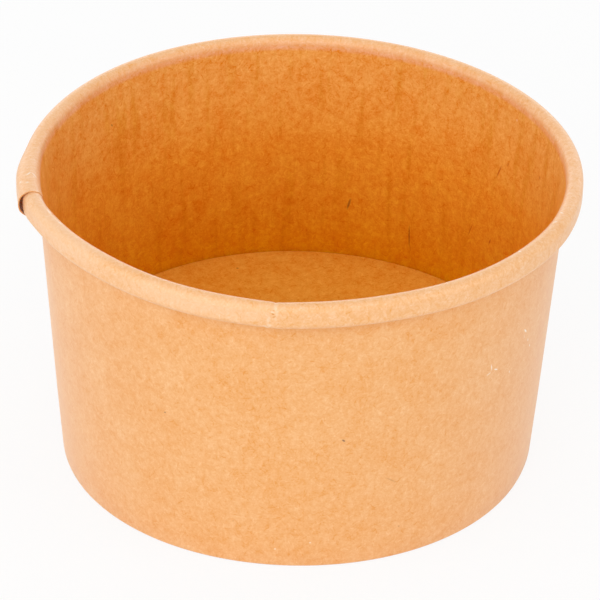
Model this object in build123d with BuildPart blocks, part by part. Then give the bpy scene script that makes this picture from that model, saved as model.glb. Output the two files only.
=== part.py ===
"""Paper ice cream tub, made of two pieces of board.

The sidewall is one blank of board wrapped into a cone. Its ends lap at the left of the tub, its top is
rolled outwards into the brim, and its foot is folded in and up into a hem. The floor is a disc whose
edge is turned down into a skirt, which the foot of the sidewall grips between wall and hem.

The tub stands on the table at z = 0 with its axis on +Z. The front is towards -Y.
"""

import os
from math import asin, atan2, cos, degrees, hypot, pi, radians, sin

from build123d import *

# Overall sizes, in millimetres
brim_diameter = 97.0  # over the rolled brim
tub_height = 55.0  # from the table to the crown of the brim
base_inset = 6.5  # from the edge of the brim in to the edge of the foot, at each side
floor_height = 12.0  # from the table to the upper face of the floor

# Board
board = 0.35  # thickness of the sidewall
floor_board = 0.35  # thickness of the floor disc
glue_gap = 0.03  # clearance wherever the two pieces of board meet

# Rolled brim
brim_radius = 1.45  # outside radius of the crown of the roll
brim_height = 4.5  # from the crown to the underside of the roll
brim_tuck_gap = 0.1  # between the end of the board in the roll and the outside of the wall
curl_turn = 210.0  # how far the board is turned in under the brim, in degrees

# Foot of the tub
fold_bend = 0.08  # inside radius of the two bends of the fold
hem_length = 8.5  # board turned up inside the base
floor_bend = 0.7  # outside radius between the floor and its skirt

# Lap seam, where the two ends of the blank overlap
seam_azimuth = 196.5  # direction of the inner raw edge, in degrees from +X
lap_width = 8.0  # overlap of the two ends, along the brim
lap_ease = 11.0  # length along the brim over which the inner end moves in behind the outer one
lap_flare = 0.55  # how far the rolled lap stands off the roll under it
lap_bond_share = 0.85  # distance between the lapped layers, which are pressed into each other

# Sizes that follow from these
brim_edge = brim_diameter / 2
curl_radius = brim_radius - (board + brim_tuck_gap) / 2
crown_height = tub_height - brim_radius
curl_height = tub_height - brim_height + curl_radius
roll_length = brim_radius * pi + crown_height - curl_height + curl_radius * radians(curl_turn)
foot_radius = brim_edge - base_inset - board
lap_lift = board * lap_bond_share
lap_angle = degrees(lap_width / brim_edge)
ease_angle = degrees(lap_ease / brim_edge)


def lean_from(start, crown_center, crown):
    """Lean in radians of a wall whose inside face runs up from a point and touches the crown."""
    run = crown_center.X - start.X
    rise = crown_center.Y - start.Y
    return atan2(run, rise) - asin(crown / hypot(run, rise))


# The inside face of the wall, from the fold to the roll
foot = Vector(foot_radius, board)
lean = lean_from(foot, Vector(brim_edge - brim_radius, crown_height), brim_radius)
up_wall = Vector(sin(lean), cos(lean))
out_of_wall = Vector(cos(lean), -sin(lean))
hem_foot = foot - Vector((floor_board + 2 * glue_gap) / cos(lean), 0)


def wall_face(height):
    """Point on the inside face of the wall at a height above the table."""
    return foot + up_wall * ((height - board) / cos(lean))


def board_face(depth, lift, flare):
    """Draw one face of the wrapped board, from the top of the hem to its end in the roll.

    At depth zero this is the face that lies inside the tub and outside on the roll. Above the floor, a
    lift moves the wall and the roll out along that face, and a flare makes the roll stand off further.
    The roll always takes up the same length of board, so a larger roll is turned in less at its end.
    """
    crown = brim_radius + lift + flare / 2
    curl = curl_radius + lift + flare / 2
    crown_center = Vector(brim_edge - brim_radius + flare / 2, crown_height)
    curl_center = Vector(brim_edge - curl_radius + flare / 2, curl_height)
    crown_turn = 180 - degrees(lean_from(wall_face(floor_height), crown_center, crown))
    under_turn = degrees((roll_length - crown * pi - crown_height + curl_height) / curl)

    hem_top = hem_foot + up_wall * hem_length - out_of_wall * depth
    hem_corner = hem_foot - Vector((1 + sin(lean)) / cos(lean), 1) * depth
    foot_corner = foot + Vector((1 - sin(lean)) / cos(lean), -1) * depth
    wall_start = wall_face(floor_height) + out_of_wall * depth

    FilletPolyline(hem_top, hem_corner, foot_corner, wall_start, radius=fold_bend + depth)
    over = CenterArc(crown_center, crown - depth, start_angle=crown_turn, arc_size=-crown_turn)
    under = CenterArc(curl_center, curl - depth, start_angle=0, arc_size=-under_turn)
    Line(wall_start, over @ 0)
    Line(over @ 1, under @ 0)
    return hem_top, under @ 1


def board_section(azimuth, lift=0.0, flare=0.0):
    """Section of the wrapped board on the radial plane in that direction."""
    with BuildSketch(Plane.XZ.rotated((0, 0, azimuth))) as section:
        with BuildLine():
            inner_ends = board_face(0, lift, flare)
            outer_ends = board_face(board, lift, flare)
            for inner, outer in zip(inner_ends, outer_ends):
                Line(inner, outer)
        make_face()
    return section.sketch


# Sidewall: wrapped round to the outer end of the blank, then eased in behind it and lapped
with BuildPart() as sidewall:
    outer_end = seam_azimuth - lap_angle
    ease_start = outer_end - ease_angle
    revolve(board_section(outer_end), axis=Axis.Z, revolution_arc=360 - ease_angle)
    with BuildLine() as ease_path:
        CenterArc((0, 0), brim_edge, ease_start, ease_angle)
    sweep(
        [board_section(ease_start), board_section(outer_end, lap_lift, lap_flare)],
        path=ease_path.line,
        multisection=True,
    )
    revolve(board_section(outer_end, lap_lift, lap_flare), axis=Axis.Z, revolution_arc=lap_angle)

# Floor: a flat disc with its edge turned down inside the wall
with BuildPart() as bottom_disc:
    skirt_setback = Vector(glue_gap / cos(lean), 0)
    with BuildSketch(Plane.XZ):
        with BuildLine():
            skirt_top = wall_face(floor_height) - skirt_setback
            skirt_foot = wall_face(board + glue_gap) - skirt_setback
            FilletPolyline((0, skirt_top.Y), skirt_top, skirt_foot, radius=floor_bend)
            offset(amount=floor_board, side=Side.RIGHT)
        make_face()
    revolve(axis=Axis.Z)

os.makedirs("parts", exist_ok=True)
sidewall.part.label = "sidewall"
export_step(sidewall.part, "parts/sidewall.step")
bottom_disc.part.label = "bottom_disc"
export_step(bottom_disc.part, "parts/bottom_disc.step")
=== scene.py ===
"""Paper ice cream tub: the dressed model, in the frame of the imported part.

The sidewall is one blank of kraft board: its foot is folded up into a hem, its top is rolled into the brim
and its two ends lap at the left. The floor is a disc of the same board with a turned-down edge. The rim has
the dents and the crease of the tub in the photograph.
"""

import logging
from collections.abc import Iterable
from dataclasses import dataclass, field
from enum import Enum
from functools import partial
from math import asin, atan2, cos, degrees, exp, hypot, pi, radians, sin, tan

import bmesh
import bpy
from bmesh.types import BMEdge, BMesh, BMVert
from mathutils import Matrix, Vector


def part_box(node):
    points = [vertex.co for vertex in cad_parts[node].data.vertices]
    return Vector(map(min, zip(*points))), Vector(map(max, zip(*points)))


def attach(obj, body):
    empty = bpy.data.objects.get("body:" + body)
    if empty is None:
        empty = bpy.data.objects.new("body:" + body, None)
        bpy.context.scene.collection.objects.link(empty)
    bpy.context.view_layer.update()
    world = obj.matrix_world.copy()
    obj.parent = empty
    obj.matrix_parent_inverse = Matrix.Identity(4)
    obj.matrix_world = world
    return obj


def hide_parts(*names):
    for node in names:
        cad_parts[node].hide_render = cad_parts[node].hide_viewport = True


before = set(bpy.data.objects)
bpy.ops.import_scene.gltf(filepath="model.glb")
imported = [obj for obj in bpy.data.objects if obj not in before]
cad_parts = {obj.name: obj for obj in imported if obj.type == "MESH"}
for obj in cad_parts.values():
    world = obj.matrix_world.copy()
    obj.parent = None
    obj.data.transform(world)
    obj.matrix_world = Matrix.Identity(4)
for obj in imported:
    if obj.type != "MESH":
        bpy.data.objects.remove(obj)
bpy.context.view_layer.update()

LOG = logging.getLogger("paper_tub")

Color = tuple[float, float, float, float]
Swing = tuple[float, float, float]
Socket = bpy.types.NodeSocket

MM = 0.001
WHITE: Color = (1.0, 1.0, 1.0, 1.0)
# Angle in degrees between two faces from which their edge is sharp
SHARP_ANGLE = 50.0
# Shares of a mark's oval at which the mark is still full and at which it has faded out
MARK_CORE, MARK_RIM = 0.3, 1.2
# Places of the colour sockets among the inputs and the outputs of a Mix node
MIX_COLORS, MIX_RESULT = slice(6, 8), 2
# Values between which most of the pulp lies
PULP_RANGE = (0.2, 0.8)
# Features per millimetre and detail of the pulp's clouds, mottles, grain and dust
PULP_NOISES = ((0.12, 2.0), (0.5, 1.0), (1.2, 1.0), (3.0, 1.0))
# Sizes in millimetres of the cells that hold one fibre each
PALE_CELLS, DARK_CELLS = (1.5, 0.9), (1.9, 1.1)
# Specks of bark: cells per millimetre, limits of chance and of size, and share of the speck's tone
SPECK_CELLS, SPECK_SHARE = 0.12, 0.75
SPECK_CHANCE, SPECK_SIZE = (0.80, 0.82), (0.018, 0.034)


class Side(Enum):
    """The finish that a face of the board shows, as its material index."""

    INSIDE = 0
    OUTSIDE = 1
    CUT = 2
    BRIM = 3


def on_plane(radius: float, height: float) -> Vector:
    """Point of the section plane, in which X is the radius and Z the height."""
    return Vector((radius, 0.0, height))


def unit(value: float) -> float:
    """The value, kept between 0 and 1."""
    return min(max(value, 0.0), 1.0)


def smooth_step(value: float, start: float = 0.0, run: float = 1.0) -> float:
    """Eases from 0 to 1 while a value goes through a run.

    Args:
        value: The value.
        start: Where the run starts.
        run: Length of the run.

    Returns:
        The eased share of the run.
    """
    share = unit((value - start) / run)
    return share * share * (3.0 - 2.0 * share)


class Pen:
    """Draws a line of vertices in the section plane with bmesh operators."""

    def __init__(self, bm: BMesh, start: Vector) -> None:
        """Puts the pen down at a point."""
        self.bm = bm
        self.path: list[BMVert] = bmesh.ops.create_vert(bm, co=start)["vert"]

    @property
    def tip(self) -> Vector:
        """Where the pen is."""
        return self.path[-1].co.copy()

    def _step(self) -> list[BMVert]:
        """Extrudes the last vertex, in place, and makes the new one the tip."""
        made = bmesh.ops.extrude_vert_indiv(self.bm, verts=[self.path[-1]])["verts"]
        self.path.extend(made)
        return made

    def line(self, end: Vector, steps: int) -> None:
        """Draws a straight run.

        Args:
            end: Where the run stops.
            steps: Number of edges in the run.
        """
        stride = (end - self.tip) / steps
        for _ in range(steps):
            bmesh.ops.translate(self.bm, verts=self._step(), vec=stride)

    def arc(self, center: Vector, turn: float, steps: int) -> None:
        """Draws an arc.

        Args:
            center: Centre of the arc.
            turn: Angle in radians, from +Z towards +X.
            steps: Number of edges in the arc.
        """
        step = Matrix.Rotation(turn / steps, 3, "Y")
        for _ in range(steps):
            bmesh.ops.rotate(self.bm, verts=self._step(), cent=center, matrix=step)

    def bend(self, corner: Vector, towards: Vector, radius: float, run_steps: int, steps: int) -> None:
        """Draws a straight run to a corner and rounds the corner, which turns from +X towards +Z.

        Args:
            corner: Point where the two straight runs would meet.
            towards: A point on the run after the corner.
            radius: Radius of the bend.
            run_steps: Number of edges in the run before the bend.
            steps: Number of edges in the bend.
        """
        before = (corner - self.tip).normalized()
        turn = before.angle(towards - corner)
        self.line(corner - before * radius * tan(turn / 2.0), run_steps)
        self.arc(self.tip + on_plane(-before.z, before.x) * radius, -turn, steps)


@dataclass(frozen=True)
class TubSizes:
    """Sizes of the tub in metres and degrees, and starts and runs as shares of the roll.

    The first three come from the frame.
    """

    brim_edge: float
    tub_height: float
    floor_height: float
    base_inset: float = 6.5 * MM
    board: float = 0.35 * MM
    floor_board: float = 0.35 * MM
    glue_gap: float = 0.03 * MM
    brim_radius: float = 1.45 * MM
    brim_height: float = 4.5 * MM
    brim_tuck_gap: float = 0.1 * MM
    curl_turn: float = 210.0
    fold_bend: float = 0.08 * MM
    hem_length: float = 8.5 * MM
    floor_bend: float = 0.7 * MM
    seam_azimuth: float = 196.5
    lap_width: float = 8.0 * MM
    lap_ease: float = 11.0 * MM
    lap_lift: float = 0.25 * MM
    lap_flare: float = 0.65 * MM
    lap_press_share: float = 0.6
    lap_spring: float = 0.36 * MM
    lap_spring_turn: float = 4.0
    lap_tuck: float = 0.2 * MM
    lap_tuck_start: float = 0.4
    lap_tuck_run: float = 0.5
    lap_turn_in: float = 0.5 * MM
    lap_turn_start: float = 0.45
    lap_turn_run: float = 0.35

    @classmethod
    def from_frame(cls, lap_stand: float = 0.5725 * MM) -> "TubSizes":
        """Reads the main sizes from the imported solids.

        Args:
            lap_stand: How far the lapped roll of the solid stands above the rest of the brim.

        Returns:
            The sizes of the tub.
        """
        wall_high = Vector(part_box("sidewall")[1])
        floor_high = Vector(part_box("bottom_disc")[1])
        return cls(brim_edge=wall_high.x, tub_height=wall_high.z - lap_stand, floor_height=floor_high.z)

    @property
    def curl_radius(self) -> float:
        """Outside radius of the underside of the roll."""
        return self.brim_radius - (self.board + self.brim_tuck_gap) / 2.0

    @property
    def crown_height(self) -> float:
        """Height of the centre of the roll's crown."""
        return self.tub_height - self.brim_radius

    @property
    def curl_height(self) -> float:
        """Height of the centre of the roll's underside."""
        return self.tub_height - self.brim_height + self.curl_radius

    @property
    def roll_length(self) -> float:
        """Length of board that is taken up by the roll."""
        straight = self.crown_height - self.curl_height
        return self.brim_radius * pi + straight + self.curl_radius * radians(self.curl_turn)

    @property
    def foot(self) -> Vector:
        """Lowest point of the inside face of the wall."""
        return on_plane(self.brim_edge - self.base_inset - self.board, self.board)

    @property
    def lean(self) -> float:
        """Lean of the wall from the axis, in radians."""
        crown_center = on_plane(self.brim_edge - self.brim_radius, self.crown_height)
        return self.lean_from(self.foot, crown_center, self.brim_radius)

    @property
    def up_wall(self) -> Vector:
        """Direction up the wall in the section plane."""
        return on_plane(sin(self.lean), cos(self.lean))

    @property
    def out_of_wall(self) -> Vector:
        """Direction from the inside to the outside of the wall."""
        return on_plane(cos(self.lean), -sin(self.lean))

    @property
    def hem_foot(self) -> Vector:
        """Lowest point of the hem's face towards the skirt of the floor."""
        return self.foot - on_plane((self.floor_board + 2.0 * self.glue_gap) / cos(self.lean), 0.0)

    @property
    def outer_end(self) -> float:
        """Azimuth of the outer raw edge of the blank, in degrees."""
        return self.seam_azimuth - degrees(self.lap_width / self.brim_edge)

    @property
    def inner_end(self) -> float:
        """Azimuth of the inner raw edge after a whole turn, in degrees."""
        return self.seam_azimuth + 360.0

    @staticmethod
    def lean_from(start: Vector, crown_center: Vector, crown: float) -> float:
        """Lean of a wall whose inside face runs up from a point and touches the crown.

        Args:
            start: Foot of the wall.
            crown_center: Centre of the crown.
            crown: Outside radius of the crown.

        Returns:
            The lean in radians.
        """
        run = crown_center.x - start.x
        rise = crown_center.z - start.z
        return atan2(run, rise) - asin(crown / hypot(run, rise))

    def wall_face(self, height: float) -> Vector:
        """Point on the inside face of the wall at a height above the table."""
        return self.foot + self.up_wall * ((height - self.board) / cos(self.lean))


@dataclass(frozen=True)
class SectionRows:
    """Number of edges in each run of the board's section."""

    hem: int = 4
    bend: int = 3
    flat: int = 1
    foot: int = 3
    wall: int = 16
    crown: int = 16
    side: int = 4
    curl: int = 16


@dataclass(frozen=True)
class BoardSection:
    """Section of the wrapped board, plain or lapped."""

    sizes: TubSizes
    rows: SectionRows = SectionRows()
    lift: float = 0.0
    flare: float = 0.0

    def draw_face(self, bm: BMesh, depth: float) -> list[BMVert]:
        """Draws one face of the board, from the top of the hem to its end in the roll.

        Args:
            bm: Mesh to draw in.
            depth: Distance from the face that lies inside the tub and outside on the roll.

        Returns:
            The vertices along the face.
        """
        tub, rows = self.sizes, self.rows
        crown = tub.brim_radius + self.lift + self.flare / 2.0
        curl = tub.curl_radius + self.lift + self.flare / 2.0
        crown_center = on_plane(tub.brim_edge - tub.brim_radius, tub.crown_height)
        crown_center += on_plane(self.flare / 2.0, -self.flare / 2.0)
        curl_center = on_plane(tub.brim_edge - tub.curl_radius + self.flare / 2.0, tub.curl_height)
        tilt = tub.lean_from(tub.wall_face(tub.floor_height), crown_center, crown)
        under_turn = (tub.roll_length - crown * pi - tub.crown_height + tub.curl_height) / curl

        slope = sin(tub.lean)
        hem_top = tub.hem_foot + tub.up_wall * tub.hem_length - tub.out_of_wall * depth
        hem_corner = tub.hem_foot - on_plane((1.0 + slope) / cos(tub.lean), 1.0) * depth
        foot_corner = tub.foot + on_plane((1.0 - slope) / cos(tub.lean), -1.0) * depth
        wall_start = tub.wall_face(tub.floor_height) + tub.out_of_wall * depth

        pen = Pen(bm, hem_top)
        pen.bend(hem_corner, foot_corner, tub.fold_bend + depth, rows.hem, rows.bend)
        pen.bend(foot_corner, wall_start, tub.fold_bend + depth, rows.flat, rows.bend)
        pen.line(wall_start, rows.foot)
        pen.line(crown_center + on_plane(-cos(tilt), sin(tilt)) * (crown - depth), rows.wall)
        pen.arc(crown_center, pi - tilt, rows.crown)
        pen.line(curl_center + on_plane(curl - depth, 0.0), rows.side)
        pen.arc(curl_center, under_turn, rows.curl)
        return pen.path


@dataclass(frozen=True)
class Dent:
    """A place where the tub stands in or out from its circle."""

    azimuth: float
    depth: float
    spread: float

    def at(self, azimuth: float) -> float:
        """How far the tub stands out in a direction."""
        turned = (azimuth - self.azimuth + 180.0) % 360.0 - 180.0
        return self.depth * exp(-((turned / self.spread) ** 2))


@dataclass(frozen=True)
class OutOfRound:
    """How far a handled tub is from round, at its rim and at its foot."""

    rim_slack: float = 0.5 * MM
    rim: tuple[Dent, ...] = (
        Dent(azimuth=40.0, depth=-0.32 * MM, spread=36.0),
        Dent(azimuth=118.0, depth=-0.12 * MM, spread=20.0),
        Dent(azimuth=160.0, depth=-0.62 * MM, spread=27.0),
        Dent(azimuth=198.0, depth=0.22 * MM, spread=9.0),
        Dent(azimuth=200.0, depth=0.12 * MM, spread=4.0),
        Dent(azimuth=226.0, depth=-0.52 * MM, spread=16.0),
        Dent(azimuth=290.0, depth=-0.22 * MM, spread=10.0),
        Dent(azimuth=335.0, depth=0.15 * MM, spread=10.0),
    )
    foot: tuple[Dent, ...] = (
        Dent(azimuth=183.0, depth=-0.35 * MM, spread=16.0),
        Dent(azimuth=232.0, depth=0.33 * MM, spread=28.0),
        Dent(azimuth=348.0, depth=-0.33 * MM, spread=24.0),
    )
    under_lap: Dent = Dent(azimuth=196.5, depth=0.4 * MM, spread=3.5)

    def offset(self, azimuth: float, rim_share: float) -> float:
        """How far the board stands out from its circle.

        Args:
            azimuth: Direction in degrees.
            rim_share: 0 at the foot and 1 at the rim.

        Returns:
            The distance in metres.
        """
        at_rim = sum(dent.at(azimuth) for dent in self.rim) - self.rim_slack
        at_foot = sum(dent.at(azimuth) for dent in self.foot)
        return at_rim * rim_share + at_foot * (1.0 - rim_share)


@dataclass(frozen=True)
class Crease:
    """The kink in the front of the brim, where the rolled board has creased. Runs are shares of the roll."""

    azimuth: float = 266.0
    slant: float = -1.9
    slant_run: float = 0.5
    bulge: float = 1.0 * MM
    bulge_spread: float = 8.0
    rise_power: int = 4
    pinch_share: float = 0.46
    pinch_run: float = 0.45
    fade_run: float = 0.125
    groove: float = 0.12 * MM
    groove_width: float = 0.22 * MM
    ridge: float = 0.04 * MM
    ridge_offset: float = 0.55 * MM
    ridge_width: float = 0.25 * MM

    def bulge_at(self, azimuth: float, roll_share: float) -> float:
        """How far the rim stands out at the kink, which has a corner at its middle and pinches the roll.

        Args:
            azimuth: Direction in degrees.
            roll_share: 0 at the inner edge of the crown and 1 at the end of the roll.

        Returns:
            The distance in metres.
        """
        pinch = 1.0 - self.pinch_share * smooth_step(roll_share, run=self.pinch_run)
        return self.bulge * pinch * exp(-abs(azimuth - self.azimuth) / self.bulge_spread)

    def across(self, azimuth: float, roll_share: float, radius: float) -> float:
        """Distance from the crease, measured round the brim.

        Args:
            azimuth: Direction in degrees.
            roll_share: 0 at the inner edge of the crown and 1 at the end of the roll.
            radius: Distance from the axis.

        Returns:
            The distance in metres, positive towards the right.
        """
        return radians(azimuth - self.azimuth - self.slant * roll_share / self.slant_run) * radius

    def relief(self, distance: float) -> float:
        """Height of the creased board at a distance from the crease."""
        groove = self.groove * exp(-abs(distance) / self.groove_width)
        ridge = self.ridge * exp(-(((distance - self.ridge_offset) / self.ridge_width) ** 2))
        return ridge - groove


@dataclass
class Sidewall:
    """The wrapped blank: wall, rolled brim, hem and lap seam."""

    sizes: TubSizes
    shape: OutOfRound
    coarse_step: float = 2.0
    fine_step: float = 0.15
    grading: float = 0.12
    # Where the brim's pale tone, painted light on the top of the rim, is full up the roll and how far down
    # the inside it fades
    brim_start: float = 0.35 * MM
    brim_fade: float = 1.5 * MM
    brim_finish_from: float = 0.7
    crease: Crease = field(default_factory=Crease)

    def build(self) -> bpy.types.Object:
        """Makes the sidewall.

        Returns:
            The finished object, without materials.
        """
        bm = bmesh.new()
        self._add_layers(bm)
        inside, outside = self._draw_section(bm)
        self._wrap(bm, inside, outside)
        self._shape_rim(bm)
        self._assign_sides(bm)
        self._unroll(bm)
        return to_object(bm, "kraft_sidewall")

    def _add_layers(self, bm: BMesh) -> None:
        """Adds the values that each vertex of the section carries round the tub."""
        for name in ("run", "side", "lap_x", "lap_z", "wrap", "brim", "depth"):
            bm.verts.layers.float.new(name)
        bm.loops.layers.uv.new("board")

    def _draw_section(self, bm: BMesh) -> tuple[list[BMVert], list[BMVert]]:
        """Draws the plain section, and notes on it how the lapped one differs.

        Args:
            bm: Mesh to draw in.

        Returns:
            The vertices of the inside face and of the outside face.
        """
        layer = bm.verts.layers.float
        lapped = BoardSection(self.sizes, lift=self.sizes.lap_lift, flare=self.sizes.lap_flare)
        faces = []
        for side, depth in ((Side.INSIDE, 0.0), (Side.OUTSIDE, self.sizes.board)):
            plain_path = BoardSection(self.sizes).draw_face(bm, depth)
            lapped_path = lapped.draw_face(bm, depth * self.sizes.lap_press_share)
            run = 0.0
            for index, (vert, moved) in enumerate(zip(plain_path, lapped_path)):
                if index:
                    run += (vert.co - plain_path[index - 1].co).length
                vert[layer["run"]] = run
                vert[layer["side"]] = side.value
                vert[layer["lap_x"]] = moved.co.x - vert.co.x
                vert[layer["lap_z"]] = moved.co.z - vert.co.z
            bmesh.ops.delete(bm, geom=lapped_path, context="VERTS")
            faces.append(plain_path)
        return faces[0], faces[1]

    def _wraps(self) -> list[float]:
        """Azimuths of the columns, from the outer raw edge to the inner one, closer at the crease."""
        wraps = [self.sizes.outer_end]
        while wraps[-1] < self.sizes.inner_end:
            from_crease = abs(wraps[-1] - self.crease.azimuth - self.crease.slant / 2.0)
            step = max(self.fine_step, min(self.coarse_step, self.grading * from_crease))
            wraps.append(min(wraps[-1] + step, self.sizes.inner_end))
        return wraps

    def _wrap(self, bm: BMesh, inside: list[BMVert], outside: list[BMVert]) -> None:
        """Spins the section round the tub, column by column, and closes the board at its raw edges.

        Args:
            bm: Mesh that holds the section.
            inside: Vertices along the inside face.
            outside: Vertices along the outside face.
        """
        for first, second in ((inside[0], outside[0]), (inside[-1], outside[-1])):
            bm.edges.new((first, second))
        wrap = bm.verts.layers.float["wrap"]
        wraps = self._wraps()
        start = Matrix.Rotation(radians(wraps[0]), 3, "Z")
        bmesh.ops.rotate(bm, verts=bm.verts, cent=(0, 0, 0), matrix=start)
        for vert in bm.verts:
            vert[wrap] = wraps[0]
        first_loop = list(bm.edges)
        loop = first_loop
        for before, after in zip(wraps, wraps[1:]):
            spun = bmesh.ops.spin(
                bm, geom=loop, cent=(0, 0, 0), axis=(0, 0, 1), angle=radians(after - before), steps=1
            )["geom_last"]
            loop = [item for item in spun if isinstance(item, BMEdge)]
            for vert in (item for item in spun if isinstance(item, BMVert)):
                vert[wrap] = after
        side = bm.verts.layers.float["side"]
        for raw_edge in (first_loop, loop):
            along = [edge for edge in raw_edge if edge.verts[0][side] == edge.verts[1][side]]
            bmesh.ops.bridge_loops(bm, edges=along)
        bmesh.ops.recalc_face_normals(bm, faces=bm.faces)

    def _shape_rim(self, bm: BMesh) -> None:
        """Moves the lap in behind the outer end, and gives the rim its dents and its crease."""
        layer = bm.verts.layers.float
        tub, crease = self.sizes, self.crease
        ease_turn = degrees(tub.lap_ease / tub.brim_edge)
        ease_start = tub.outer_end + 360.0 - ease_turn
        spring_start = tub.inner_end - tub.lap_spring_turn
        roll_start = tub.tub_height - tub.brim_height
        wall_length = max(vert[layer["run"]] for vert in bm.verts) - tub.roll_length
        for vert in bm.verts:
            azimuth = vert[layer["wrap"]]
            past_wall = vert[layer["run"]] - wall_length
            rise = unit((vert.co.z - tub.floor_height) / (roll_start - tub.floor_height))
            roll_share = unit(past_wall / tub.roll_length)
            lapped = smooth_step(azimuth, ease_start, ease_turn)
            sprung = smooth_step(azimuth, spring_start, tub.lap_spring_turn)
            turned_in = smooth_step(roll_share, tub.lap_turn_start, tub.lap_turn_run)
            tucked = smooth_step(roll_share, tub.lap_tuck_start, tub.lap_tuck_run)
            spring = tub.lap_spring * sprung
            if azimuth < tub.seam_azimuth + 180.0:
                spring += self.shape.under_lap.at(azimuth)
            out = self.shape.offset(azimuth, rise)
            out += crease.bulge_at(azimuth, roll_share) * rise**crease.rise_power
            out += vert[layer["lap_x"]] * lapped + spring * sin(pi * roll_share) ** 2
            out -= tub.lap_turn_in * sprung * turned_in
            vert.co += Vector((cos(radians(azimuth)), sin(radians(azimuth)), 0.0)) * out
            vert.co.z += vert[layer["lap_z"]] * lapped + tub.lap_tuck * sprung * tucked
            # Share of the brim's pale tone, which is painted light on the top of the rim
            vert[layer["brim"]] = 1.0 + (past_wall - self.brim_start) / self.brim_fade
            # Depth in the tub, which darkens the coated face towards the floor as painted shade
            vert[layer["depth"]] = 1.0 - rise
            if roll_share > 0.0 and vert[layer["side"]] == Side.INSIDE.value:
                across = crease.across(azimuth, roll_share, tub.brim_edge)
                shown = smooth_step(roll_share, run=crease.fade_run)
                vert.co += vert.normal * crease.relief(across) * shown

    def _assign_sides(self, bm: BMesh) -> None:
        """Gives each face the finish of its side of the board, and the cut finish between the sides."""
        layer = bm.verts.layers.float
        for face in bm.faces:
            sides = {round(vert[layer["side"]]) for vert in face.verts}
            face.material_index = sides.pop() if len(sides) == 1 else Side.CUT.value
            on_brim = all(vert[layer["brim"]] > self.brim_finish_from for vert in face.verts)
            if on_brim and face.material_index == Side.INSIDE.value:
                face.material_index = Side.BRIM.value

    def _unroll(self, bm: BMesh) -> None:
        """Lays the board's UV map out flat, in metres along the brim and up the board."""
        layer = bm.verts.layers.float
        uv = bm.loops.layers.uv["board"]
        for face in bm.faces:
            for loop in face.loops:
                wrap, run = loop.vert[layer["wrap"]], loop.vert[layer["run"]]
                loop[uv].uv = (radians(wrap) * self.sizes.brim_edge, run)


@dataclass
class FloorDisc:
    """The floor, whose turned-down edge stands between the wall and the hem."""

    sizes: TubSizes
    shape: OutOfRound
    columns: int = 240
    floor_rows: int = 24
    bend_rows: int = 6
    skirt_rows: int = 6
    edge_share: float = 0.9
    weld: float = 0.001 * MM

    def build(self) -> bpy.types.Object:
        """Makes the floor.

        Returns:
            The finished object, without materials.
        """
        tub = self.sizes
        bm = bmesh.new()
        setback = on_plane(tub.glue_gap / cos(tub.lean), 0.0)
        corner = tub.wall_face(tub.floor_height) - setback
        skirt_foot = tub.wall_face(tub.board + tub.glue_gap) - setback
        upper = self._draw_face(bm, corner, skirt_foot, tub.floor_bend)
        inset = on_plane((1.0 - sin(tub.lean)) / cos(tub.lean), 1.0) * tub.floor_board
        lower_foot = skirt_foot - tub.out_of_wall * tub.floor_board
        lower = self._draw_face(bm, corner - inset, lower_foot, tub.floor_bend - tub.floor_board)
        bm.edges.new((upper[-1], lower[-1]))
        bmesh.ops.spin(
            bm,
            geom=list(bm.edges),
            cent=(0, 0, 0),
            axis=(0, 0, 1),
            angle=2.0 * pi,
            steps=self.columns,
            use_merge=True,
        )
        bmesh.ops.remove_doubles(bm, verts=bm.verts, dist=self.weld)
        bmesh.ops.recalc_face_normals(bm, faces=bm.faces)
        self._shape_edge(bm, corner.x)
        self._assign_sides(bm)
        self._lay_out(bm)
        return to_object(bm, "kraft_floor")

    def _assign_sides(self, bm: BMesh) -> None:
        """Gives the face that is up or outwards the coated finish, and the one below it the plain finish."""
        for face in bm.faces:
            middle = face.calc_center_median()
            outwards = Vector((middle.x, middle.y, 0.0)).normalized()
            below = face.normal.z + face.normal.dot(outwards) < 0.0
            face.material_index = Side.OUTSIDE.value if below else Side.INSIDE.value

    def _shape_edge(self, bm: BMesh, edge_radius: float) -> None:
        """Fits the disc to the foot of the sidewall, which isn't quite round.

        Args:
            bm: Mesh of the disc.
            edge_radius: Radius of the disc's edge.
        """
        for vert in bm.verts:
            flat = Vector((vert.co.x, vert.co.y, 0.0))
            azimuth = degrees(atan2(flat.y, flat.x))
            share = min(flat.length / (self.edge_share * edge_radius), 1.0)
            out = self.shape.offset(azimuth, 0.0) * share
            vert.co += flat.normalized() * out

    def _lay_out(self, bm: BMesh) -> None:
        """Gives the disc a flat UV map in metres."""
        uv = bm.loops.layers.uv.new("board")
        for face in bm.faces:
            for loop in face.loops:
                loop[uv].uv = loop.vert.co.xy

    def _draw_face(self, bm: BMesh, corner: Vector, skirt_foot: Vector, radius: float) -> list[BMVert]:
        """Draws one face of the disc, from its centre to the foot of its skirt.

        Args:
            bm: Mesh to draw in.
            corner: Point where the floor and the skirt would meet.
            skirt_foot: Lowest point of the skirt.
            radius: Radius of the bend.

        Returns:
            The vertices along the face.
        """
        before = on_plane(1.0, 0.0)
        turn = before.angle(skirt_foot - corner)
        pen = Pen(bm, on_plane(0.0, corner.z))
        pen.line(corner - before * radius * tan(turn / 2.0), self.floor_rows)
        pen.arc(pen.tip - on_plane(0.0, radius), turn, self.bend_rows)
        pen.line(skirt_foot, self.skirt_rows)
        return pen.path


def to_object(bm: BMesh, name: str) -> bpy.types.Object:
    """Turns a mesh into an object of the scene, smooth but for its edges.

    Args:
        bm: The mesh, which is freed.
        name: Name of the object.

    Returns:
        The object, at the origin.
    """
    mesh = bpy.data.meshes.new(name)
    bm.to_mesh(mesh)
    bm.free()
    mesh.shade_smooth()
    mesh.set_sharp_from_angle(angle=radians(SHARP_ANGLE))
    piece = bpy.data.objects.new(name, mesh)
    bpy.context.scene.collection.objects.link(piece)
    return piece


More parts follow.
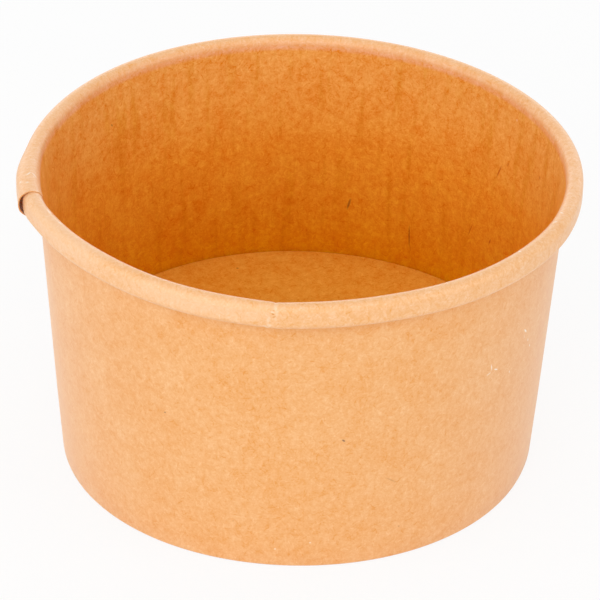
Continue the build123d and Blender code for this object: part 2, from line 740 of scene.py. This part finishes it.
@dataclass(frozen=True)
class FibreForm:
    """Form of a fibre, in shares of its cell, and its full part in shares of its half width and length."""

    reach: float = 0.5
    width: float = 0.09
    bend: float = 1.2
    core_share: float = 0.2
    tip_share: float = 0.6
    chance: tuple[float, float] = (0.25, 0.75)


class NodeDesk:
    """Adds and links the nodes of one material or world."""

    def __init__(self, owner: bpy.types.Material | bpy.types.World) -> None:
        """Gives the owner its first nodes, among which only a material has a shader."""
        owner.use_nodes = True
        self.owner = owner
        self.tree = owner.node_tree
        self.shader = self.tree.nodes.get("Principled BSDF")

    def add(self, kind: str, **settings: object) -> bpy.types.Node:
        """Adds a node.

        Args:
            kind: Type of the node.
            settings: Properties of the node.

        Returns:
            The node.
        """
        node = self.tree.nodes.new(kind)
        for name, value in settings.items():
            setattr(node, name, value)
        return node

    def feed(self, node: bpy.types.Node, **inputs: object) -> bpy.types.Node:
        """Sets or links inputs of a node, named with underscores for spaces.

        Args:
            node: The node.
            inputs: A value or an output socket for each input.

        Returns:
            The same node.
        """
        self.plug((node.inputs[name.replace("_", " ")], value) for name, value in inputs.items())
        return node

    def seen(self) -> Socket:
        """1 on rays from the camera, in reflections and through clear things, and 0 on all others."""
        rays = self.add("ShaderNodeLightPath")
        seen = rays.outputs["Is Camera Ray"]
        for kind in ("Is Glossy Ray", "Is Transmission Ray"):
            seen = self.math("MAXIMUM", seen, rays.outputs[kind])
        return seen

    def object_mm(self) -> Socket:
        """Object coordinates in millimetres."""
        source = self.add("ShaderNodeTexCoord").outputs["Object"]
        return self.scaled(source, 1.0 / MM, 1.0 / MM)

    def board_mm(self, across: float = 1.0, along: float = 1.0) -> Socket:
        """Coordinates on the flat board in millimetres, stretched across and along it."""
        source = self.add("ShaderNodeUVMap", uv_map="board").outputs["UV"]
        return self.scaled(source, across / MM, along / MM)

    def scaled(self, place: Socket, across: float, along: float) -> Socket:
        """Coordinates times a scale, which is the same in depth as along."""
        mapping = self.add("ShaderNodeMapping")
        self.feed(mapping, Vector=place, Scale=(across, along, along))
        return mapping.outputs["Vector"]

    def attribute(self, name: str) -> Socket:
        """A value that the vertices carry."""
        return self.add("ShaderNodeAttribute", attribute_name=name).outputs["Fac"]

    def noise(self, place: Socket, scale: float, detail: float, rough: float = 0.5) -> Socket:
        """Noise with a number of features per millimetre."""
        node = self.add("ShaderNodeTexNoise")
        self.feed(node, Vector=place, Scale=scale, Detail=detail, Roughness=rough)
        return node.outputs["Fac"]

    def remap(self, value: Socket, low: float, high: float, start: float, end: float) -> Socket:
        """Maps a range of values smoothly to another range."""
        node = self.add("ShaderNodeMapRange", interpolation_type="SMOOTHSTEP")
        self.feed(node, Value=value, From_Min=low, From_Max=high, To_Min=start, To_Max=end)
        return node.outputs["Result"]

    def math(self, operation: str, *values: object) -> Socket:
        """One sum of up to three values."""
        node = self.add("ShaderNodeMath", operation=operation)
        self.plug(zip(node.inputs, values))
        return node.outputs["Value"]

    def mix(self, share: object, below: object, above: object, blend: str = "MIX") -> Socket:
        """Mixes two colours by a share, or multiplies them into a colour that a surface can have."""
        node = self.add("ShaderNodeMix", data_type="RGBA", blend_type=blend, clamp_result=blend == "MULTIPLY")
        self.plug(zip((node.inputs["Factor"], *node.inputs[MIX_COLORS]), (share, below, above)))
        return node.outputs[MIX_RESULT]

    def plug(self, pairs: Iterable[tuple[Socket, object]]) -> None:
        """Sets or links each input socket to its value."""
        for socket, value in pairs:
            if isinstance(value, Socket):
                self.tree.links.new(value, socket)
            else:
                socket.default_value = value

    def spot(self, place: Socket, mark: "Mark") -> Socket:
        """Share of a mark at each place: full in its middle and none just past its oval."""
        mapping = self.add("ShaderNodeMapping", vector_type="TEXTURE")
        self.feed(
            mapping,
            Vector=place,
            Location=(mark.across, mark.up, 0.0),
            Rotation=(0.0, 0.0, radians(mark.turn)),
            Scale=(mark.length / 2.0, mark.width / 2.0, 1.0),
        )
        size = self.add("ShaderNodeVectorMath", operation="LENGTH")
        self.feed(size, Vector=mapping.outputs["Vector"])
        return self.remap(size.outputs["Value"], MARK_CORE, MARK_RIM, mark.share, 0.0)

    def fibres(self, place: Socket, cell: float, form: FibreForm) -> Socket:
        """Short bent fibres, one in each cell of the board and each turned its own way.

        Args:
            place: Coordinates on the board in millimetres.
            cell: Size of a cell in millimetres.
            form: Form of the fibres.

        Returns:
            1 on a fibre and 0 beside it.
        """
        here = self.scaled(place, 1.0 / cell, 1.0 / cell)
        cells = self.add("ShaderNodeTexVoronoi", voronoi_dimensions="2D", feature="F1")
        self.feed(cells, Vector=here, Scale=1.0, Randomness=1.0)
        chance = self.add("ShaderNodeSeparateColor")
        self.feed(chance, Color=cells.outputs["Color"])
        arm = self.add("ShaderNodeVectorMath", operation="SUBTRACT")
        self.plug(zip(arm.inputs, (here, cells.outputs["Position"])))
        turned = self.add("ShaderNodeVectorRotate", rotation_type="Z_AXIS")
        angle = self.math("MULTIPLY", chance.outputs["Red"], 2.0 * pi)
        self.feed(turned, Vector=arm.outputs["Vector"], Angle=angle)
        part = self.add("ShaderNodeSeparateXYZ")
        self.feed(part, Vector=turned.outputs["Vector"])
        along, aside = part.outputs["X"], part.outputs["Y"]
        spread = self.math("MULTIPLY", chance.outputs["Green"], 2.0 * form.bend)
        curve = self.math("SUBTRACT", spread, form.bend)
        bent = self.math("MULTIPLY_ADD", self.math("MULTIPLY", along, along), curve, aside)
        core, tip = form.core_share * form.width, form.tip_share * form.reach
        line = self.remap(self.math("ABSOLUTE", bent), core, form.width, 1.0, 0.0)
        ends = self.remap(self.math("ABSOLUTE", along), tip, form.reach, 1.0, 0.0)
        shown = self.remap(chance.outputs["Blue"], *form.chance, 0.0, 1.0)
        return self.math("MULTIPLY", self.math("MULTIPLY", line, ends), shown)


@dataclass(frozen=True)
class Mark:
    """A speck, a rubbed place or a scratch, or a patch of painted sheen or painted shadow: an oval on the
    flat board, in millimetres and degrees.
    """

    color: Color
    across: float
    up: float
    length: float
    width: float = 0.4
    turn: float = 0.0
    share: float = 0.7


@dataclass(frozen=True)
class KraftFinish:
    """Brown kraft board: mottled pulp, short fibres and a few specks of bark."""

    name: str
    tone: Color = (0.865, 0.41, 0.124, 1.0)
    swing: Swing = (0.07, 0.30, 0.9)
    clouds: float = 0.45
    mottles: float = 0.5
    grain: float = 0.65
    dust: float = 0.75
    pale_fibres: float = 0.22
    dark_fibres: float = 0.24
    fibre: FibreForm = FibreForm()
    speck: Color = (0.20, 0.055, 0.008, 1.0)
    roughness: float = 0.52
    roughness_swing: float = 0.06
    specular: float = 0.5
    sheen: float = 0.36
    sheen_roughness: float = 0.6
    bump: float = 0.25
    bump_depth: float = 0.05 * MM
    marks: tuple[Mark, ...] = ()

    def material(self) -> bpy.types.Material:
        """Makes the material.

        Returns:
            The finished material.
        """
        desk = NodeDesk(bpy.data.materials.new(self.name))
        pulp = self._pulp(desk)
        color = desk.mix(1.0, self._base(desk), self._gain(desk, pulp), "MULTIPLY")
        color = desk.mix(self._specks(desk), color, self.speck)
        for mark in self.marks:
            color = desk.mix(desk.spot(desk.board_mm(), mark), color, mark.color)
        relief = desk.add("ShaderNodeBump")
        desk.feed(relief, Strength=self.bump, Distance=self.bump_depth, Height=pulp)
        glossy, dull = self.roughness - self.roughness_swing, self.roughness + self.roughness_swing
        desk.feed(
            desk.shader,
            Base_Color=color,
            Normal=relief.outputs["Normal"],
            Roughness=desk.remap(pulp, *PULP_RANGE, glossy, dull),
            Specular_IOR_Level=self.specular,
            Sheen_Weight=self.sheen,
            Sheen_Roughness=self.sheen_roughness,
        )
        self._gloss(desk)
        return desk.owner

    def _base(self, desk: NodeDesk) -> object:
        """The colour that the pulp varies."""
        return self.tone

    def _gain(self, desk: NodeDesk, pulp: Socket) -> Socket:
        """How much lighter or darker than its base the board is at each place."""
        return self._swung(desk, pulp, self.swing)

    @staticmethod
    def _swung(desk: NodeDesk, pulp: Socket, swing: Swing) -> Socket:
        """A gain of one, less the swing where the pulp is dark and plus the swing where it is pale."""
        darkest = tuple(1.0 - part for part in swing) + (1.0,)
        palest = tuple(1.0 + part for part in swing) + (1.0,)
        return desk.mix(pulp, darkest, palest)

    def _gloss(self, desk: NodeDesk) -> None:
        """Sets what only some finishes have on their surface."""

    def _pulp(self, desk: NodeDesk) -> Socket:
        """Mottles and fibres, from 0 where the pulp is dark to 1 where it is pale."""
        place, board = desk.object_mm(), desk.board_mm()
        weights = (self.clouds, self.mottles, self.grain, self.dust)
        total: object = 0.5 - 0.5 * sum(weights)
        for (scale, detail), weight in zip(PULP_NOISES, weights):
            total = desk.math("MULTIPLY_ADD", desk.noise(place, scale, detail), weight, total)
        for cells, weight in ((PALE_CELLS, self.pale_fibres), (DARK_CELLS, -self.dark_fibres)):
            for cell in cells:
                fibres = desk.fibres(board, cell, self.fibre)
                total = desk.math("MULTIPLY_ADD", fibres, weight, total)
        return total

    def _specks(self, desk: NodeDesk) -> Socket:
        """A few specks of bark in the pulp."""
        cells = desk.add("ShaderNodeTexVoronoi", feature="F1")
        desk.feed(cells, Vector=desk.object_mm(), Scale=SPECK_CELLS, Randomness=1.0)
        rare = desk.remap(cells.outputs["Color"], *SPECK_CHANCE, 0.0, 1.0)
        small = desk.remap(cells.outputs["Distance"], *SPECK_SIZE, SPECK_SHARE, 0.0)
        return desk.math("MULTIPLY", rare, small)


@dataclass(frozen=True)
class CoatedFinish(KraftFinish):
    """The coated face of the board, with painted shade that deepens it towards the floor and painted light
    that makes it pale where it is rolled into the brim.
    """

    tone: Color = (0.88, 0.40, 0.043, 1.0)
    # The tone deepens from the top through the middle to the bottom of the inside: painted shade
    middle_depth: float = 0.45
    shaded_middle_tone: Color = (0.86, 0.345, 0.0145, 1.0)
    shaded_low_tone: Color = (0.76, 0.30, 0.001, 1.0)
    # Paler tone of the rolled brim: painted light on the top of the rim
    painted_light_brim_tone: Color = (0.90, 0.485, 0.21, 1.0)
    brim_swing: Swing = (0.06, 0.25, 0.68)
    streak_tone: Color = (0.91, 0.82, 0.45, 1.0)
    streak_stretch: tuple[float, float] = (0.35, 0.05)
    streak_range: tuple[float, float] = (0.45, 0.75)
    streak_detail: float = 4.0
    streak_roughness: float = 0.6
    coat: float = 0.0
    coat_roughness: float = 0.25

    def _base(self, desk: NodeDesk) -> object:
        """The tone at each depth in the tub, darkened towards the floor as painted shade and streaked along
        the wall, and the tone of the brim, which is painted light.
        """
        # Painted shade: a ramp that darkens the tone with depth in the tub
        ramp = desk.add("ShaderNodeValToRGB")
        ramp.color_ramp.elements.new(self.middle_depth)
        for stop, color in zip(ramp.color_ramp.elements, (self.tone, self.shaded_middle_tone, self.shaded_low_tone)):
            stop.color = color
        desk.feed(ramp, Fac=desk.attribute("depth"))
        place = desk.board_mm(*self.streak_stretch)
        noise = desk.noise(place, 1.0, self.streak_detail, self.streak_roughness)
        streaks = desk.remap(noise, *self.streak_range, 0.0, 1.0)
        streaked = desk.mix(streaks, WHITE, self.streak_tone)
        wall = desk.mix(1.0, ramp.outputs["Color"], streaked, "MULTIPLY")
        # Painted light: the brim's paler tone laid over the wall's
        return desk.mix(self._on_brim(desk), wall, self.painted_light_brim_tone)

    def _gain(self, desk: NodeDesk, pulp: Socket) -> Socket:
        """The gain of the wall, and the quieter one of the brim."""
        on_wall = self._swung(desk, pulp, self.swing)
        on_brim = self._swung(desk, pulp, self.brim_swing)
        return desk.mix(self._on_brim(desk), on_wall, on_brim)

    def _on_brim(self, desk: NodeDesk) -> Socket:
        """Share of the brim's tone, painted light on the top of the rim, which fades out down the inside of
        the wall.
        """
        return desk.remap(desk.attribute("brim"), 0.0, 1.0, 0.0, 1.0)

    def _gloss(self, desk: NodeDesk) -> None:
        """Adds the thin coating that keeps the board dry."""
        desk.feed(desk.shader, Coat_Weight=self.coat, Coat_Roughness=self.coat_roughness)


@dataclass
class Studio:
    """The floor, the light and the camera."""

    focal_length: float = 207.2
    sensor: float = 36.0
    distance: float = 603.0 * MM
    elevation: float = 31.43
    roll: float = 1.24
    aim: Vector = field(default_factory=lambda: Vector((0.125, 0.0, 26.9)) * MM)
    clip_start: float = 10.0 * MM
    floor_size: float = 6.0
    floor_drop: float = 0.05 * MM
    floor_tone: Color = (0.92, 0.92, 0.92, 1.0)
    floor_roughness: float = 0.9
    floor_glow: float = 0.86
    world_strength: float = 0.58

    def build(self) -> None:
        """Sets up everything around the tub."""
        self._floor()
        self._world()
        self._lamps()
        self._camera()
        bpy.context.scene.view_settings.view_transform = "Standard"

    def _floor(self) -> None:
        """A pale floor that reads as white and keeps the tub's soft shadow."""
        bm = bmesh.new()
        bmesh.ops.create_grid(bm, x_segments=1, y_segments=1, size=self.floor_size)
        bmesh.ops.translate(bm, verts=bm.verts, vec=(0.0, 0.0, -self.floor_drop))
        floor = to_object(bm, "studio_floor")
        desk = NodeDesk(bpy.data.materials.new("pale_floor"))
        desk.feed(desk.shader, Base_Color=self.floor_tone, Roughness=self.floor_roughness)
        glow = desk.add("ShaderNodeEmission")
        blend = desk.add("ShaderNodeMixShader")
        share = desk.math("MULTIPLY", desk.seen(), self.floor_glow)
        shaders = (desk.shader.outputs["BSDF"], glow.outputs["Emission"])
        desk.plug(zip(blend.inputs, (share, *shaders)))
        desk.feed(desk.tree.nodes["Material Output"], Surface=blend.outputs["Shader"])
        floor.data.materials.append(desk.owner)

    def _world(self) -> None:
        """Even white light, with a background that is white to the camera and in reflections."""
        desk = NodeDesk(bpy.data.worlds.new("studio_white"))
        strength = desk.add("ShaderNodeMapRange")
        desk.feed(strength, Value=desk.seen(), To_Min=self.world_strength, To_Max=1.0)
        desk.feed(desk.tree.nodes["Background"], Color=WHITE, Strength=strength.outputs["Result"])
        bpy.context.scene.world = desk.owner

    def _lamps(self) -> None:
        """Soft lamps all round and above, and a wide low one behind that lights the edge of the brim."""
        for name, place, width, height, power in (
            ("front_softbox", (-0.25, -1.1, 0.72), 1.0, 1.0, 5.5),
            ("left_softbox", (-0.95, -0.4, 0.45), 0.6, 0.6, 1.8),
            ("right_softbox", (0.95, -0.4, 0.45), 0.6, 0.6, 1.9),
            ("top_softbox", (0.0, -0.1, 1.0), 0.8, 0.8, 0.8),
            ("back_softbox", (0.0, 1.1, 0.33), 2.4, 0.55, 4.8),
        ):
            light = bpy.data.lights.new(name, "AREA")
            light.shape = "RECTANGLE"
            light.size = width
            light.size_y = height
            light.energy = power
            lamp = bpy.data.objects.new(name, light)
            lamp.location = place
            lamp.rotation_euler = (self.aim - Vector(place)).to_track_quat("-Z", "Y").to_euler()
            bpy.context.scene.collection.objects.link(lamp)

    def _camera(self) -> None:
        """The photograph's camera, turned a little about its own line of sight."""
        rise, turn = radians(self.elevation), radians(self.roll)
        back = Vector((0.0, -cos(rise), sin(rise)))
        right, up = Vector((1.0, 0.0, 0.0)), Vector((0.0, sin(rise), cos(rise)))
        level_right = right * cos(turn) + up * sin(turn)
        level_up = up * cos(turn) - right * sin(turn)
        data = bpy.data.cameras.new("photo_camera")
        data.lens = self.focal_length
        data.sensor_width = self.sensor
        data.clip_start = self.clip_start
        camera = bpy.data.objects.new("photo_camera", data)
        turned = Matrix((level_right, level_up, back)).transposed().to_4x4()
        camera.matrix_world = Matrix.Translation(self.aim + back * self.distance) @ turned
        bpy.context.scene.collection.objects.link(camera)
        bpy.context.scene.camera = camera


# Kinds of marks, each in its own colour
chalk = partial(Mark, (1.0, 0.90, 0.78, 1.0))
pale = partial(Mark, (0.98, 0.80, 0.60, 1.0))
# Painted sheen: pale where light glances along the roll
painted_sheen = partial(Mark, (0.97, 0.66, 0.42, 1.0))
# Painted shadow: dark orange where the folds of a crease shade the board
crease_shadow = partial(Mark, (0.72, 0.27, 0.02, 1.0))
rust = partial(Mark, (0.62, 0.25, 0.05, 1.0))
sliver = partial(Mark, (0.52, 0.06, 0.001, 1.0))
bark = partial(Mark, (0.20, 0.06, 0.01, 1.0))

# The crumpled board at the kink of the brim, from the crown down to the underside of the roll: pale fibres,
# and painted shadow in the folds of the crease
CREASE_MARKS = (
    pale(224.8, 65.1, length=1.9, width=0.9, turn=95.0, share=0.28),
    pale(225.0, 66.4, length=1.8, width=0.7, turn=80.0, share=0.2),
    pale(224.3, 66.3, length=0.9, turn=10.0, share=0.5),
    pale(224.8, 67.4, length=0.8, width=0.6, turn=70.0, share=0.3),
    pale(223.7, 67.8, length=1.5, width=0.7, turn=110.0, share=0.3),
    pale(223.8, 68.8, length=1.0, width=0.8, share=0.45),
    pale(223.2, 69.3, length=1.3, width=0.8, turn=20.0, share=0.4),
    # Painted shadows in the folds of the crease
    crease_shadow(224.5, 66.0, length=0.5, width=0.3, share=0.5),
    crease_shadow(224.4, 66.6, length=0.6, turn=15.0, share=0.9),
    crease_shadow(224.6, 67.1, length=0.8, turn=-35.0, share=0.6),
    crease_shadow(223.9, 68.2, length=0.5, share=0.3),
)

# Rubbed places on the brim beside the lap and on the inner edge at the right, and painted sheen on the front
# left of the roll
BRIM_SCUFFS_AND_SHEEN = (
    chalk(464.8, 64.4, length=1.4, width=0.3, turn=25.0, share=0.6),
    chalk(464.8, 63.7, length=1.5, width=0.3, turn=-35.0, share=0.5),
    chalk(466.6, 65.6, length=0.5, share=0.6),
    chalk(467.8, 64.7, length=0.6, share=0.4),
    chalk(169.0, 63.5, length=3.0, width=0.6, share=0.4),
    chalk(173.5, 63.9, length=2.5, width=0.6, turn=10.0, share=0.4),
    chalk(178.0, 64.0, length=1.4, width=0.5, share=0.5),
    # Painted sheen along the front left of the roll
    painted_sheen(181.0, 66.0, length=30.0, width=6.0, share=0.4),
    painted_sheen(209.5, 67.0, length=34.0, width=4.5, share=0.4),
    chalk(287.3, 64.1, length=0.9, width=0.35, turn=120.0),
    chalk(283.8, 64.1, length=0.9, width=0.35, turn=60.0),
    chalk(271.5, 64.1, length=0.7, width=0.35, turn=90.0),
)

# A forked scratch and a row of pale flecks at the right, and bark and fibres in the pulp
WALL_MARKS = (
    chalk(268.2, 42.7, length=1.6, width=0.3, turn=-75.0, share=0.8),
    chalk(269.6, 41.7, length=1.4, width=0.3, turn=-25.0, share=0.9),
    chalk(267.6, 41.6, length=1.3, width=0.3, turn=10.0, share=0.5),
    chalk(274.3, 39.1, length=0.6, turn=-80.0, share=0.6),
    chalk(278.6, 45.4, length=1.7, turn=-45.0, share=0.9),
    chalk(278.5, 44.2, length=0.8, width=0.3, turn=-120.0, share=0.4),
    chalk(280.3, 42.7, length=0.9, turn=-65.0, share=0.6),
    chalk(281.5, 41.0, length=0.9, turn=-50.0, share=0.6),
    bark(237.2, 36.0, length=0.8, turn=-35.0, share=0.9),
    bark(203.4, 37.6, length=0.5, width=0.3, turn=5.0, share=0.6),
    rust(246.8, 26.4, length=3.0, width=0.35, turn=-33.0, share=0.5),
    rust(249.2, 16.0, length=0.5),
    pale(231.6, 14.8, length=0.5),
    pale(224.9, 13.3, length=0.5),
)

# Slivers of bark and a pale fleck under the coating
INSIDE_MARKS = (
    bark(370.9, 30.8, length=2.7, width=0.6, turn=-73.0, share=0.65),
    bark(357.2, 26.7, length=5.0, turn=-94.0, share=0.55),
    bark(423.7, 54.1, length=0.7, turn=60.0, share=0.6),
    sliver(335.6, 47.4, length=3.5, turn=-67.0),
    sliver(333.1, 49.9, length=1.2, turn=-70.0, share=0.5),
    sliver(342.2, 32.8, length=3.1, turn=-70.0, share=0.6),
    sliver(336.3, 32.7, length=1.5, width=0.5, turn=-70.0),
    sliver(321.2, 52.7, length=0.7, width=0.5, turn=60.0, share=0.6),
    pale(331.8, 59.3, length=0.5, width=0.5, share=0.4),
)
FLOOR_MARKS = (bark(-11.6, 35.2, length=0.6, width=0.5, turn=-10.0, share=0.5),)

OUTSIDE_FINISH = KraftFinish(name="kraft_outside", marks=WALL_MARKS)
INSIDE_FINISH = CoatedFinish(
    name="kraft_coated_inside",
    swing=(0.11, 0.43, 3.0),
    specular=0.12,
    sheen=0.0,
    marks=INSIDE_MARKS,
)
BRIM_FINISH = CoatedFinish(
    name="kraft_coated_brim",
    clouds=0.3,
    mottles=0.35,
    sheen=0.12,
    coat=0.28,
    marks=BRIM_SCUFFS_AND_SHEEN + CREASE_MARKS,
)
# The cut edge's darker tone is partly the raw fibre ends and partly painted shade of the gap beside them
CUT_FINISH = KraftFinish(name="kraft_cut_edge", tone=(0.75, 0.33, 0.09, 1.0), roughness=0.8)
FLOOR_FINISH = KraftFinish(
    name="kraft_floor_board",
    tone=(0.865, 0.395, 0.022, 1.0),
    swing=(0.11, 0.38, 3.0),
    specular=0.12,
    sheen=0.0,
    marks=FLOOR_MARKS,
)
UNDERSIDE_FINISH = KraftFinish(name="kraft_floor_underside")


def dress(piece: bpy.types.Object, node: str, finishes: tuple[KraftFinish, ...]) -> None:
    """Gives a piece its materials and its place in the frame.

    Args:
        piece: The finished piece.
        node: The solid that it stands for.
        finishes: Finishes in the order of the mesh's material indices.
    """
    for finish in finishes:
        piece.data.materials.append(finish.material())
    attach(piece, "root")
    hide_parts(node)
    LOG.info("%s: %d faces", piece.name, len(piece.data.polygons))


def main() -> None:
    """Builds the tub and its studio."""
    logging.basicConfig(level=logging.INFO, format="%(name)s: %(message)s")
    sizes = TubSizes.from_frame()
    board_finishes = (INSIDE_FINISH, OUTSIDE_FINISH, CUT_FINISH, BRIM_FINISH)
    shape = OutOfRound()
    dress(Sidewall(sizes, shape).build(), "sidewall", board_finishes)
    dress(FloorDisc(sizes, shape).build(), "bottom_disc", (FLOOR_FINISH, UNDERSIDE_FINISH))
    Studio().build()


if __name__ == "__main__":
    main()
